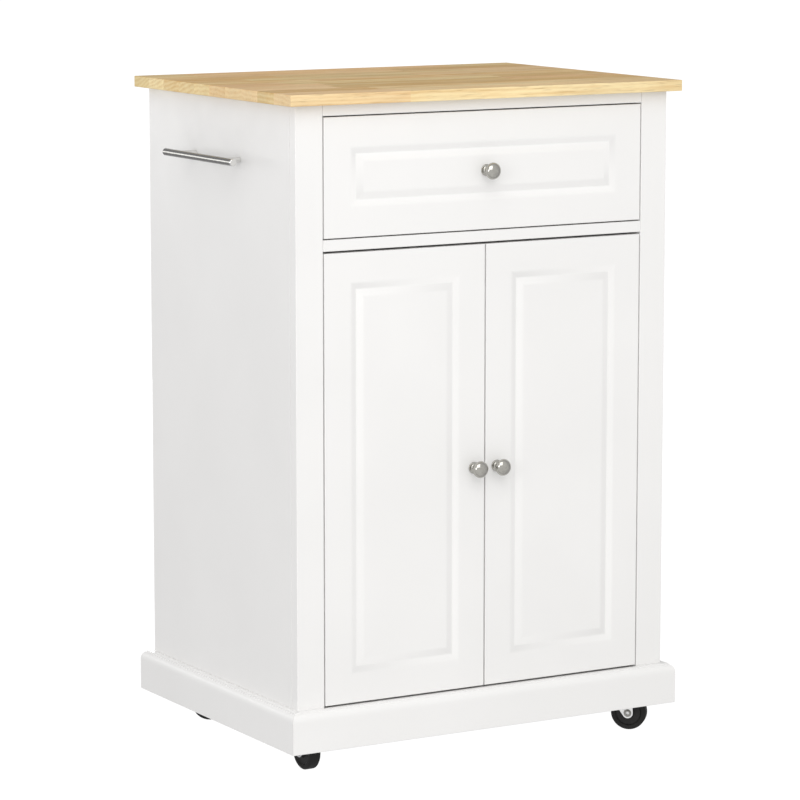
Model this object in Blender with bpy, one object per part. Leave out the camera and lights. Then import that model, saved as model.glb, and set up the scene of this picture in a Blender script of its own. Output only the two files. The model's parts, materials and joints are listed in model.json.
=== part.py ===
"""Rolling kitchen cart: a white cabinet with a butcher-block worktop, a drawer, two doors,
a towel bar and four swivel casters. Metres, +Z up, the front faces -Y.

Positions are written in the cabinet's own frame, where x = 0 is the line between the doors
and y = 0 is the middle of the worktop. The root empty moves that frame so that the world
origin is the centre of the whole box, on the floor."""

import math

import bmesh
import bpy
from mathutils import Matrix, Vector

# Driving dimensions
OVERALL_W = 0.62865          # from the right edge of the plinth to the outside of the towel bar
HEIGHT = 0.9144              # floor to the top of the worktop
TOP_W = 0.610
TOP_D = 0.4572
TOP_T = 0.015
BODY_HALF_W = 0.290          # outside of the side panels
BODY_HALF_D = 0.2126         # front of the face frame, back of the side panels
FIT = 0.0003                 # gap between pieces that touch

# Boards
SIDE_T = 0.015
FRAME_T = 0.016              # face frame, doors and drawer front
BACK_T = 0.005
BACK_INSET = 0.003
PANEL_T = 0.015              # bottom panel, shelf and rear stretcher
STRETCHER_H = 0.060

# Plinth
PLINTH_T = 0.015
PLINTH_BOTTOM = 0.041
PLINTH_TOP = 0.0965
PLINTH_ROUND_W = 0.0068      # the rounded top edge, across
PLINTH_ROUND_H = 0.0110      # and down
PLINTH_STEP = 0.0016         # the small square step above it
BOTTOM_PANEL_TOP = 0.095

# Face frame openings
OPEN_HALF_W = 0.2493         # inner edges of the stiles
TOP_RAIL_BOTTOM = 0.8844
MIDDLE_RAIL_TOP = 0.7221
MIDDLE_RAIL_BOTTOM = 0.7070

# Doors and drawer front
FRONT_HALF_W = 0.2475        # outer edges of the doors and of the drawer front
DOOR_GAP = 0.002             # between the two doors
DOOR_BOTTOM = 0.0985
DOOR_TOP = 0.7040
DRAWER_BOTTOM = 0.7239
DRAWER_TOP = 0.8826
EDGE_EASE = 0.0008
GROOVE_INSET = 0.049         # edge of a panel to the bottom of its routed groove
GROOVE_OUTER = 0.0085        # groove bottom to the outer shoulder
GROOVE_INNER = 0.0100        # groove bottom to the inner shoulder
GROOVE_DEPTH = 0.0035
DOOR_KNOB_X = 0.018

# Drawer box and runners
BOX_HALF_W = 0.2363
BOX_WALL = 0.012
BOX_BOTTOM = 0.740
BOX_TOP = 0.845
BOX_BACK = 0.150
BOX_FLOOR = 0.748
BOX_FLOOR_T = 0.005
RUNNER_Z = 0.800
RUNNER_FRONT = -0.193
RUNNER_LENGTH = 0.350
RUNNER_SHEET = 0.0012
CABINET_RUNNER_HALF_H = 0.0175
CABINET_RUNNER_DEPTH = 0.0088
DRAWER_RUNNER_HALF_H = 0.0145
DRAWER_RUNNER_DEPTH = 0.0094
BATTEN_HALF_H = 0.020
BATTEN_BACK = 0.185

# Shelf
SHELF_BOTTOM = 0.3925
SHELF_HALF_W = 0.2725
SHELF_FRONT = -0.180
PIN_SHEET = 0.0015
PIN_WIDTH = 0.012
PIN_TAB = 0.0135             # reach of the tab under the shelf
PIN_DROP = 0.004             # its upright leg, below the tab
PIN_RISE = 0.010             # and beside the shelf's end
PIN_Y = (-0.140, 0.160)

# Hinges
HINGE_Z = {"lower": 0.178, "upper": 0.624}
CUP_FROM_EDGE = 0.0225
CUP_BORE_R = 0.0175
CUP_BORE_DEPTH = 0.0115
CUP_R = 0.0172
CUP_DEPTH = 0.011
CUP_WALL = 0.0012
CUP_FLANGE_HALF_W = 0.0125
CUP_FLANGE_HALF_H = 0.024
ARM_PLATE_T = 0.0025
ARM_PLATE_HALF_H = 0.020
ARM_PLATE_Y = (0.0085, 0.0685)
ARM_HALF_H = 0.008
ARM_OUTLINE = [              # x inward from the side panel, y from the door's back
    (0.0017, 0.0021),
    (0.0457, 0.0021),
    (0.0457, 0.0081),
    (0.0157, 0.0131),
    (0.0137, 0.0666),
    (0.0017, 0.0666),
]

# Towel bar, on the left side panel
BAR_R = 0.005
BAR_LENGTH = 0.200
BAR_Y = 0.006
BAR_Z = 0.818
POST_R = 0.004
POST_SPACING = 0.128

# Casters
WHEEL_R = 0.025
WHEEL_TRAIL = 0.018          # swivel axis to axle
AXLE_R = 0.003
HUB_R = 0.0078
WEB_INNER_R = 0.0090
WEB_OUTER_R = 0.0180
WEB_HALF_T = 0.0068
TYRE_INNER_R = 0.0192
TYRE_SHOULDER_R = 0.0232
TYRE_HALF_W = 0.0082
TREAD_HALF_W = 0.0062
CASTER_X = 0.244
CASTER_Y = 0.172
CASTER_PLATE = 0.042
CASTER_PLATE_T = 0.002
RACE_R = 0.017
RACE_H = 0.008
CROWN_R = 0.0145
CROWN_H = 0.0045
FORK_SHEET = 0.002
FORK_HALF_W = 0.0125
FORK_TOP = 0.0640
FORK_SHOULDERS = [           # x from the swivel axis towards the axle, z above the floor
    (0.0245, 0.0560),
    (0.0225, FORK_TOP),
    (-0.0120, FORK_TOP),
    (-0.0145, 0.0570),
]
FORK_END_R = 0.0075          # the rounded end of each leg, around the axle
RIVET_HEAD_R = 0.0048
RIVET_HEAD_H = 0.0022
HEADINGS = {                 # direction in which each wheel trails, degrees from +X
    "front_left": 92.0,
    "front_right": -44.0,
    "back_left": -28.0,
    "back_right": 205.0,
}

# Derived planes
CARCASS_TOP = HEIGHT - TOP_T - FIT
FRONT_Y = -BODY_HALF_D
FRAME_BACK = FRONT_Y + FRAME_T
INSIDE_X = BODY_HALF_W - SIDE_T
BACK_Y = BODY_HALF_D - BACK_INSET - BACK_T
CARCASS_BOTTOM = BOTTOM_PANEL_TOP - PANEL_T
PLINTH_HALF_W = BODY_HALF_W + FIT + PLINTH_T
PLINTH_HALF_D = BODY_HALF_D + FIT + PLINTH_T
BAR_X = -(OVERALL_W - PLINTH_HALF_W - BAR_R)

# The turned profile of a knob, as radius and height above the face it stands on
KNOB_PROFILE = [
    (0.0, 0.0),
    (0.0080, 0.0),
    (0.0080, 0.0016),
    (0.0050, 0.0032),
    (0.0042, 0.0090),
    (0.0056, 0.0125),
    (0.0104, 0.0143),
    (0.0115, 0.0168),
    (0.0112, 0.0202),
    (0.0090, 0.0233),
    (0.0050, 0.0247),
    (0.0, 0.0250),
]
KNOB_REACH = FIT + KNOB_PROFILE[-1][1]

ORIGIN_X = (OVERALL_W - 2.0 * PLINTH_HALF_W) / 2.0
ORIGIN_Y = (BODY_HALF_D + KNOB_REACH - TOP_D / 2.0) / 2.0

FINISHES = {                 # colour, roughness, metallic
    "beech": ((0.78, 0.58, 0.36), 0.45, 0.0),
    "white_paint": ((0.90, 0.90, 0.89), 0.38, 0.0),
    "white_board": ((0.86, 0.86, 0.85), 0.50, 0.0),
    "nickel": ((0.72, 0.70, 0.67), 0.22, 1.0),
    "steel": ((0.66, 0.66, 0.65), 0.30, 1.0),
    "zinc": ((0.70, 0.71, 0.72), 0.35, 1.0),
    "black_tyre": ((0.025, 0.025, 0.026), 0.55, 0.0),
}


def clear_scene():
    for scene_object in list(bpy.data.objects):
        bpy.data.objects.remove(scene_object, do_unlink=True)


def give_finish(piece, finish):
    colour, roughness, metallic = FINISHES[finish]
    material = bpy.data.materials.new(f"{piece.name}_{finish}")
    material.use_nodes = True
    shader = material.node_tree.nodes["Principled BSDF"]
    shader.inputs["Base Color"].default_value = (*colour, 1.0)
    shader.inputs["Roughness"].default_value = roughness
    shader.inputs["Metallic"].default_value = metallic
    material.diffuse_color = (*colour, 1.0)
    piece.data.materials.clear()
    piece.data.materials.append(material)


def empty(name, parent, location, turn=0.0):
    """A joint or root frame; turn is a rotation about Z in degrees."""
    frame = bpy.data.objects.new(name, None)
    frame.empty_display_size = 0.04
    frame.location = location
    frame.rotation_euler = (0.0, 0.0, math.radians(turn))
    frame.parent = parent
    bpy.context.scene.collection.objects.link(frame)
    return frame


def mesh_from(name, shape):
    bmesh.ops.recalc_face_normals(shape, faces=shape.faces)
    mesh = bpy.data.meshes.new(name)
    shape.to_mesh(mesh)
    shape.free()
    return mesh


def place(name, mesh, parent, location=(0.0, 0.0, 0.0), rotation=(0.0, 0.0, 0.0)):
    piece = bpy.data.objects.new(name, mesh)
    piece.location = location
    piece.rotation_euler = rotation
    piece.parent = parent
    bpy.context.scene.collection.objects.link(piece)
    return piece


def ease_edges(piece, width=EDGE_EASE, segments=2):
    bevel = piece.modifiers.new("eased edges", "BEVEL")
    bevel.width = width
    bevel.segments = segments
    bevel.limit_method = "ANGLE"
    bevel.angle_limit = math.radians(40.0)


def mirror_in_x(mesh):
    mesh.transform(Matrix.Diagonal((-1.0, 1.0, 1.0, 1.0)))
    mesh.flip_normals()


def box_mesh(name, low, high):
    shape = bmesh.new()
    low, high = Vector(low), Vector(high)
    middle = Matrix.Translation((low + high) / 2.0)
    size = Matrix.Diagonal((*(high - low), 1.0))
    bmesh.ops.create_cube(shape, size=1.0, matrix=middle @ size)
    return mesh_from(name, shape)


def board(name, low, high, finish, parent, eased=False):
    """A rectangular board, given by its two opposite corners in its parent's frame."""
    centre = (Vector(low) + Vector(high)) / 2.0
    piece = place(name, box_mesh(name, Vector(low) - centre, Vector(high) - centre), parent, centre)
    if eased:
        ease_edges(piece)
    give_finish(piece, finish)
    return piece


def prism_mesh(name, outline, low, high, axes="xy"):
    """An outline in the plane of the two named axes, extruded along the third one."""
    first, second = ("xyz".index(letter) for letter in axes)
    along = 3 - first - second
    shape = bmesh.new()
    corners = []
    for across, up in outline:
        point = [0.0, 0.0, 0.0]
        point[first] = across
        point[second] = up
        point[along] = low
        corners.append(shape.verts.new(point))
    face = shape.faces.new(corners)
    extruded = bmesh.ops.extrude_face_region(shape, geom=[face])["geom"]
    moved = [item for item in extruded if isinstance(item, bmesh.types.BMVert)]
    offset = Vector((0.0, 0.0, 0.0))
    offset[along] = high - low
    bmesh.ops.translate(shape, verts=moved, vec=offset)
    return mesh_from(name, shape)


def turned_mesh(name, profile, steps, closed=False):
    """A profile of (radius, height) points turned about Z. A closed profile makes a ring."""
    shape = bmesh.new()
    points = [shape.verts.new((radius, 0.0, height)) for radius, height in profile]
    edges = [shape.edges.new(pair) for pair in zip(points, points[1:])]
    if closed:
        edges.append(shape.edges.new((points[-1], points[0])))
    bmesh.ops.spin(
        shape,
        geom=points + edges,
        axis=(0.0, 0.0, 1.0),
        cent=(0.0, 0.0, 0.0),
        angle=math.tau,
        steps=steps,
        use_merge=True,
    )
    bmesh.ops.remove_doubles(shape, verts=shape.verts, dist=0.000001)
    mesh = mesh_from(name, shape)
    mesh.shade_smooth()
    mesh.set_sharp_from_angle(angle=math.radians(35.0))
    return mesh


def rod_mesh(name, radius, low, high, steps=24):
    profile = [(0.0, low), (radius, low), (radius, high), (0.0, high)]
    return turned_mesh(name, profile, steps)


def combined(name, base_mesh, tool_mesh, operation, tool_matrix=None):
    """The Boolean of two meshes, as a new mesh."""
    base = place(f"{name}_base", base_mesh, None)
    tool = place(f"{name}_tool", tool_mesh, None)
    if tool_matrix is not None:
        tool.matrix_world = tool_matrix
    tool.hide_render = True
    tool.display_type = "WIRE"
    cut = base.modifiers.new("cut", "BOOLEAN")
    cut.operation = operation
    cut.solver = "EXACT"
    cut.object = tool
    bpy.context.view_layer.update()
    evaluated = base.evaluated_get(bpy.context.evaluated_depsgraph_get())
    mesh = bpy.data.meshes.new_from_object(evaluated)
    mesh.name = name
    bpy.data.objects.remove(base, do_unlink=True)
    bpy.data.objects.remove(tool, do_unlink=True)
    return mesh


def make_worktop(root):
    low = (-TOP_W / 2.0, -TOP_D / 2.0, HEIGHT - TOP_T)
    high = (TOP_W / 2.0, TOP_D / 2.0, HEIGHT)
    board("worktop", low, high, "beech", root, eased=True)


def make_carcass(root):
    for side, sign in (("left", -1.0), ("right", 1.0)):
        panel_low = (-SIDE_T / 2.0, FRAME_BACK + FIT, CARCASS_BOTTOM)
        panel_high = (SIDE_T / 2.0, BODY_HALF_D, CARCASS_TOP)
        shift = Vector((sign * (BODY_HALF_W - SIDE_T / 2.0), 0.0, 0.0))
        low, high = Vector(panel_low) + shift, Vector(panel_high) + shift
        board(f"side_panel_{side}", low, high, "white_paint", root)

        inner, outer = sorted((sign * OPEN_HALF_W, sign * BODY_HALF_W))
        low = (inner, FRONT_Y, CARCASS_BOTTOM)
        high = (outer, FRAME_BACK, CARCASS_TOP)
        board(f"stile_{side}", low, high, "white_paint", root, eased=True)

    rail_x = OPEN_HALF_W - FIT
    low = (-rail_x, FRONT_Y, TOP_RAIL_BOTTOM)
    board("top_rail", low, (rail_x, FRAME_BACK, CARCASS_TOP), "white_paint", root, eased=True)
    low = (-rail_x, FRONT_Y, MIDDLE_RAIL_BOTTOM)
    high = (rail_x, FRAME_BACK, MIDDLE_RAIL_TOP)
    board("middle_rail", low, high, "white_paint", root, eased=True)

    inside = INSIDE_X - FIT
    low = (-inside, BACK_Y, CARCASS_BOTTOM)
    high = (inside, BACK_Y + BACK_T, CARCASS_TOP)
    board("back_panel", low, high, "white_board", root)
    low = (-inside, BACK_Y - FIT - PANEL_T, CARCASS_TOP - STRETCHER_H)
    high = (inside, BACK_Y - FIT, CARCASS_TOP)
    board("rear_stretcher", low, high, "white_board", root)


def make_bottom_panel(root):
    """Fills the carcass and reaches forward between the stiles, up to the plinth."""
    wide = INSIDE_X - FIT
    narrow = OPEN_HALF_W - FIT
    shoulder = FRAME_BACK + FIT
    back = BACK_Y - FIT
    outline = [
        (-narrow, FRONT_Y),
        (narrow, FRONT_Y),
        (narrow, shoulder),
        (wide, shoulder),
        (wide, back),
        (-wide, back),
        (-wide, shoulder),
        (-narrow, shoulder),
    ]
    mesh = prism_mesh("bottom_panel", outline, 0.0, PANEL_T)
    piece = place("bottom_panel", mesh, root, (0.0, 0.0, CARCASS_BOTTOM))
    give_finish(piece, "white_board")


def plinth_profile(arc_steps=6):
    """(distance in from the outer face, height above the plinth's bottom), outer face first."""
    height = PLINTH_TOP - PLINTH_BOTTOM
    points = [(PLINTH_T, 0.0), (0.0, 0.0)]
    for step in range(arc_steps + 1):
        angle = math.pi / 2.0 * step / arc_steps
        inward = PLINTH_ROUND_W * (1.0 - math.cos(angle))
        up = height - PLINTH_STEP - PLINTH_ROUND_H * (1.0 - math.sin(angle))
        points.append((inward, up))
    points.append((PLINTH_ROUND_W, height))
    points.append((PLINTH_T, height))
    return points


def plinth_mesh(name, half_length):
    """A moulded board along X with mitred ends; its outer face lies at y = 0 and faces -Y."""
    shape = bmesh.new()
    ends = []
    for sign in (-1.0, 1.0):
        ring = []
        for inward, up in plinth_profile():
            reach = half_length - inward - FIT / 2.0
            ring.append(shape.verts.new((sign * reach, inward, up)))
        ends.append(ring)
    count = len(ends[0])
    for index in range(count):
        following = (index + 1) % count
        left, right = ends
        shape.faces.new((left[index], left[following], right[following], right[index]))
    for ring in ends:
        shape.faces.new(ring)
    return mesh_from(name, shape)


def make_plinth(root):
    across, deep = PLINTH_HALF_W, PLINTH_HALF_D
    sides = {                # half length, distance from the middle, turn in degrees
        "front": (across, deep, 0.0),
        "right": (deep, across, 90.0),
        "back": (across, deep, 180.0),
        "left": (deep, across, 270.0),
    }
    for side, (half_length, distance, turn) in sides.items():
        name = f"plinth_{side}"
        outward = Matrix.Rotation(math.radians(turn), 3, "Z") @ Vector((0.0, -distance, 0.0))
        location = (outward.x, outward.y, PLINTH_BOTTOM)
        rotation = (0.0, 0.0, math.radians(turn))
        piece = place(name, plinth_mesh(name, half_length), root, location, rotation)
        give_finish(piece, "white_paint")


def make_shelf(root):
    low = (-SHELF_HALF_W, SHELF_FRONT, SHELF_BOTTOM)
    high = (SHELF_HALF_W, BACK_Y - FIT, SHELF_BOTTOM + PANEL_T)
    board("shelf", low, high, "white_board", root)

    outline = [              # x inward from the side panel, z from the shelf's underside
        (0.0, -PIN_SHEET - PIN_DROP),
        (PIN_SHEET, -PIN_SHEET - PIN_DROP),
        (PIN_SHEET, -PIN_SHEET),
        (PIN_TAB, -PIN_SHEET),
        (PIN_TAB, 0.0),
        (PIN_SHEET, 0.0),
        (PIN_SHEET, PIN_RISE),
        (0.0, PIN_RISE),
    ]
    mesh = prism_mesh("shelf_pin", outline, -PIN_WIDTH / 2.0, PIN_WIDTH / 2.0, axes="xz")
    for side, sign, turn in (("left", -1.0, 0.0), ("right", 1.0, math.pi)):
        for end, y in zip(("front", "back"), PIN_Y):
            location = (sign * (INSIDE_X - FIT), y, SHELF_BOTTOM - FIT)
            pin = place(f"shelf_pin_{end}_{side}", mesh.copy(), root, location, (0.0, 0.0, turn))
            give_finish(pin, "zinc")


def grooved_mesh(name, left, right, height, steps=4):
    """A flat panel from x = left to right, z = 0 to height, its front at y = 0 and its back at
    y = FRAME_T, with eased front edges and a routed groove that runs parallel to its edges."""
    rings = [(0.0, FRAME_T), (0.0, EDGE_EASE), (EDGE_EASE, 0.0)]
    for step in range(steps + 1):
        across = step / steps
        depth = GROOVE_DEPTH * (1.0 - math.sqrt(1.0 - across * across))
        rings.append((GROOVE_INSET - GROOVE_OUTER * (1.0 - across), depth))
    for step in range(steps - 1, -1, -1):
        across = step / steps
        depth = GROOVE_DEPTH * (1.0 - math.sqrt(1.0 - across * across))
        rings.append((GROOVE_INSET + GROOVE_INNER * (1.0 - across), depth))

    shape = bmesh.new()
    loops = []
    for inset, depth in rings:
        corners = [
            (left + inset, depth, inset),
            (right - inset, depth, inset),
            (right - inset, depth, height - inset),
            (left + inset, depth, height - inset),
        ]
        loops.append([shape.verts.new(corner) for corner in corners])
    for outer, inner in zip(loops, loops[1:]):
        for index in range(4):
            following = (index + 1) % 4
            shape.faces.new((outer[index], outer[following], inner[following], inner[index]))
    shape.faces.new(loops[0])
    shape.faces.new(loops[-1])
    return mesh_from(name, shape)


def knob(name, parent, location):
    mesh = turned_mesh("knob", KNOB_PROFILE, steps=28)
    piece = place(name, mesh, parent, location, (math.radians(90.0), 0.0, 0.0))
    give_finish(piece, "nickel")


def hinge_cup_mesh():
    """A pressed cup with its mounting flange, opening towards +Y, the flange's front at y = 0."""
    low = (-CUP_FLANGE_HALF_W, 0.0, -CUP_FLANGE_HALF_H)
    high = (CUP_FLANGE_HALF_W, CUP_WALL, CUP_FLANGE_HALF_H)
    flange = box_mesh("flange", low, high)
    towards_front = Matrix.Rotation(math.radians(90.0), 4, "X")
    outside = rod_mesh("cup_outside", CUP_R, -CUP_WALL / 2.0, CUP_DEPTH, steps=28)
    body = combined("cup_body", flange, outside, "UNION", towards_front)
    inside = rod_mesh("cup_inside", CUP_R - CUP_WALL, -0.004, CUP_DEPTH - CUP_WALL, steps=28)
    return combined("hinge_cup", body, inside, "DIFFERENCE", towards_front)


def hinge_arm_mesh():
    """The cabinet's half of a hinge: x runs inward from the side panel, y from the door's back."""
    near, far = ARM_PLATE_Y
    low = (0.0, near, -ARM_PLATE_HALF_H)
    plate = box_mesh("hinge_plate", low, (ARM_PLATE_T, far, ARM_PLATE_HALF_H))
    arm = prism_mesh("hinge_crank", ARM_OUTLINE, -ARM_HALF_H, ARM_HALF_H)
    return combined("hinge_arm", plate, arm, "UNION")


def make_doors(root):
    height = DOOR_TOP - DOOR_BOTTOM
    width = FRONT_HALF_W - DOOR_GAP / 2.0
    cup = hinge_cup_mesh()
    towards_front = Matrix.Rotation(math.radians(90.0), 4, "X")
    for side, sign in (("left", -1.0), ("right", 1.0)):
        hinge = empty(f"door_{side}_hinge", root, (sign * FRONT_HALF_W, FRONT_Y, 0.0))
        inward = -sign
        left, right = sorted((0.0, inward * width))
        mesh = grooved_mesh(f"door_{side}", left, right, height)
        for level, z in HINGE_Z.items():
            bore = rod_mesh("bore", CUP_BORE_R, -FRAME_T - 0.002, -FRAME_T + CUP_BORE_DEPTH, 28)
            centre = Matrix.Translation((inward * CUP_FROM_EDGE, 0.0, z - DOOR_BOTTOM))
            mesh = combined(f"door_{side}", mesh, bore, "DIFFERENCE", centre @ towards_front)

            location = (inward * CUP_FROM_EDGE, FRAME_T + FIT, z)
            piece = place(f"hinge_cup_{side}_{level}", cup.copy(), hinge, location)
            give_finish(piece, "zinc")

            arm = hinge_arm_mesh()
            if side == "right":
                mirror_in_x(arm)
            location = (sign * (INSIDE_X - FIT), FRAME_BACK, z)
            piece = place(f"hinge_arm_{side}_{level}", arm, root, location)
            give_finish(piece, "zinc")
        door = place(f"door_{side}", mesh, hinge, (0.0, 0.0, DOOR_BOTTOM))
        give_finish(door, "white_paint")
        knob_x = sign * (DOOR_KNOB_X - FRONT_HALF_W)
        knob(f"door_knob_{side}", hinge, (knob_x, -FIT, (DOOR_BOTTOM + DOOR_TOP) / 2.0))


def channel_mesh(name, half_height, depth):
    """A C-shaped runner along Y: its web at x = 0, its flanges reaching to x = depth."""
    sheet = RUNNER_SHEET
    outline = [
        (0.0, -half_height),
        (depth, -half_height),
        (depth, sheet - half_height),
        (sheet, sheet - half_height),
        (sheet, half_height - sheet),
        (depth, half_height - sheet),
        (depth, half_height),
        (0.0, half_height),
    ]
    return prism_mesh(name, outline, 0.0, RUNNER_LENGTH, axes="xz")


def make_runners(root, drawer):
    for side, sign in (("left", -1.0), ("right", 1.0)):
        inner, outer = sorted((sign * (OPEN_HALF_W + FIT), sign * (INSIDE_X - FIT)))
        low = (inner, FRAME_BACK + FIT, RUNNER_Z - BATTEN_HALF_H)
        high = (outer, BATTEN_BACK, RUNNER_Z + BATTEN_HALF_H)
        board(f"runner_batten_{side}", low, high, "white_board", root)

        on_cabinet = channel_mesh(f"runner_{side}", CABINET_RUNNER_HALF_H, CABINET_RUNNER_DEPTH)
        on_drawer = channel_mesh(f"drawer_runner_{side}", DRAWER_RUNNER_HALF_H, DRAWER_RUNNER_DEPTH)
        mirror_in_x(on_cabinet if side == "right" else on_drawer)
        location = (sign * OPEN_HALF_W, RUNNER_FRONT, RUNNER_Z)
        piece = place(f"runner_{side}", on_cabinet, root, location)
        give_finish(piece, "zinc")
        location = (sign * (BOX_HALF_W + FIT), RUNNER_FRONT - FRONT_Y, RUNNER_Z)
        piece = place(f"drawer_runner_{side}", on_drawer, drawer, location)
        give_finish(piece, "zinc")


def make_drawer(root):
    """The drawer's frame sits at the middle of its front face's plane, at floor height."""
    drawer = empty("drawer_slide", root, (0.0, FRONT_Y, 0.0))
    mesh = grooved_mesh("drawer_front", -FRONT_HALF_W, FRONT_HALF_W, DRAWER_TOP - DRAWER_BOTTOM)
    front = place("drawer_front", mesh, drawer, (0.0, 0.0, DRAWER_BOTTOM))
    give_finish(front, "white_paint")
    knob("drawer_knob", drawer, (0.0, -FIT, (DRAWER_BOTTOM + DRAWER_TOP) / 2.0))

    near = FRAME_T + FIT
    far = BOX_BACK - FRONT_Y
    for side, sign in (("left", -1.0), ("right", 1.0)):
        inner, outer = sorted((sign * (BOX_HALF_W - BOX_WALL), sign * BOX_HALF_W))
        low, high = (inner, near, BOX_BOTTOM), (outer, far, BOX_TOP)
        board(f"drawer_side_{side}", low, high, "white_board", drawer)
    inside = BOX_HALF_W - BOX_WALL - FIT
    low, high = (-inside, far - BOX_WALL, BOX_BOTTOM), (inside, far, BOX_TOP)
    board("drawer_back", low, high, "white_board", drawer)
    low = (-inside, near, BOX_FLOOR)
    high = (inside, far - BOX_WALL - FIT, BOX_FLOOR + BOX_FLOOR_T)
    board("drawer_bottom", low, high, "white_board", drawer)
    make_runners(root, drawer)


def make_towel_bar(root):
    along_y = Matrix.Rotation(math.radians(-90.0), 4, "X")
    bar = rod_mesh("towel_bar", BAR_R, -BAR_LENGTH / 2.0, BAR_LENGTH / 2.0, steps=32)
    bar.transform(along_y)
    piece = place("towel_bar", bar, root, (BAR_X, BAR_Y, BAR_Z))
    ease_edges(piece, width=0.0006, segments=1)
    give_finish(piece, "steel")

    reach = -BODY_HALF_W - FIT - BAR_X
    for end, sign in (("front", -1.0), ("rear", 1.0)):
        post = rod_mesh("post", POST_R, 0.0, reach, steps=24)
        post.transform(Matrix.Rotation(math.radians(90.0), 4, "Y"))
        saddle = rod_mesh("saddle", BAR_R + FIT, -0.02, 0.02, steps=32)
        mesh = combined(f"towel_post_{end}", post, saddle, "DIFFERENCE", along_y)
        location = (BAR_X, BAR_Y + sign * POST_SPACING / 2.0, BAR_Z)
        piece = place(f"towel_post_{end}", mesh, root, location)
        give_finish(piece, "steel")


def caster_plate_mesh():
    """A square mounting plate with the swivel race pressed out below it; its top is at z = 0."""
    half = CASTER_PLATE / 2.0
    plate = box_mesh("plate", (-half, -half, -CASTER_PLATE_T), (half, half, 0.0))
    profile = [
        (0.0, -CASTER_PLATE_T / 2.0),
        (RACE_R, -CASTER_PLATE_T / 2.0),
        (RACE_R, -CASTER_PLATE_T - RACE_H * 0.5),
        (RACE_R - 0.0025, -CASTER_PLATE_T - RACE_H),
        (0.0, -CASTER_PLATE_T - RACE_H),
    ]
    race = turned_mesh("race", profile[::-1], steps=28)
    return combined("caster_plate", plate, race, "UNION")


def fork_outline(arc_steps=8):
    """Side view of the fork: x from the swivel axis towards the axle, z above the floor."""
    points = list(FORK_SHOULDERS)
    for step in range(arc_steps + 1):
        angle = math.radians(215.0 + 145.0 * step / arc_steps)
        x = WHEEL_TRAIL + FORK_END_R * math.cos(angle)
        z = WHEEL_R + FORK_END_R * math.sin(angle)
        points.append((x, z))
    return points


def fork_mesh():
    """Two legs and a crown bent from sheet, with the swivel boss on top and the riveted axle."""
    block = prism_mesh("fork_block", fork_outline(), -FORK_HALF_W, FORK_HALF_W, axes="xz")
    slot_half = FORK_HALF_W - FORK_SHEET
    slot_low = (-0.030, -slot_half, 0.0)
    slot_high = (0.040, slot_half, FORK_TOP - FORK_SHEET)
    slot = box_mesh("fork_slot", slot_low, slot_high)
    fork = combined("fork", block, slot, "DIFFERENCE")
    boss = rod_mesh("fork_boss", CROWN_R, FORK_TOP - FORK_SHEET / 2.0, FORK_TOP + CROWN_H, 28)
    fork = combined("fork", fork, boss, "UNION")
    seat = FORK_HALF_W - FORK_SHEET / 4.0
    reach = FORK_HALF_W + RIVET_HEAD_H
    rivet_profile = [
        (0.0, -reach),
        (RIVET_HEAD_R, -reach),
        (RIVET_HEAD_R, -seat),
        (AXLE_R, -seat),
        (AXLE_R, seat),
        (RIVET_HEAD_R, seat),
        (RIVET_HEAD_R, reach),
        (0.0, reach),
    ]
    rivet = turned_mesh("rivet", rivet_profile, steps=20)
    axle_centre = Matrix.Translation((WHEEL_TRAIL, 0.0, WHEEL_R))
    across = axle_centre @ Matrix.Rotation(math.radians(90.0), 4, "X")
    return combined("caster_fork", fork, rivet, "UNION", across)


def wheel_mesh():
    """Hub and solid tyre about Y, as one ring around the axle's bore."""
    bore_r = AXLE_R + FIT
    hub = FORK_HALF_W - FORK_SHEET - FIT
    half_profile = [
        (bore_r, hub),
        (HUB_R, hub),
        (WEB_INNER_R, WEB_HALF_T),
        (WEB_OUTER_R, WEB_HALF_T),
        (TYRE_INNER_R, TYRE_HALF_W),
        (TYRE_SHOULDER_R, TYRE_HALF_W),
        (WHEEL_R, TREAD_HALF_W),
    ]
    mirrored = [(radius, -height) for radius, height in reversed(half_profile)]
    mesh = turned_mesh("caster_wheel", half_profile + mirrored, steps=28, closed=True)
    mesh.transform(Matrix.Rotation(math.radians(90.0), 4, "Z"))
    mesh.transform(Matrix.Rotation(math.radians(90.0), 4, "X"))
    return mesh


def make_casters(root):
    plate = caster_plate_mesh()
    fork = fork_mesh()
    wheel = wheel_mesh()
    for corner, heading in HEADINGS.items():
        depth, side = corner.split("_")
        x = -CASTER_X if side == "left" else CASTER_X
        y = -CASTER_Y if depth == "front" else CASTER_Y
        name = f"caster_{corner}"
        location = (x, y, CARCASS_BOTTOM - FIT)
        piece = place(f"{name}_plate", plate.copy(), root, location)
        give_finish(piece, "zinc")
        swivel = empty(f"{name}_swivel", root, (x, y, 0.0), heading)
        piece = place(f"{name}_fork", fork.copy(), swivel)
        give_finish(piece, "zinc")
        axle = empty(f"{name}_axle", swivel, (WHEEL_TRAIL, 0.0, WHEEL_R))
        piece = place(f"{name}_wheel", wheel.copy(), axle)
        give_finish(piece, "black_tyre")


def build():
    clear_scene()
    root = empty("cart", None, (ORIGIN_X, ORIGIN_Y, 0.0))
    make_worktop(root)
    make_carcass(root)
    make_bottom_panel(root)
    make_plinth(root)
    make_shelf(root)
    make_doors(root)
    make_drawer(root)
    make_towel_bar(root)
    make_casters(root)


build()
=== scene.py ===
"""Rolling kitchen cart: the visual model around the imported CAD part.

Metres, +Z up, the front faces -Y, in the CAD part's own frame. Places come from the frame's
boxes and joints. Pieces are drawn where they stand at rest, and ride on the CAD bodies."""

import json
import math
import random

import bmesh
import bpy
from mathutils import Matrix, Vector


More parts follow.
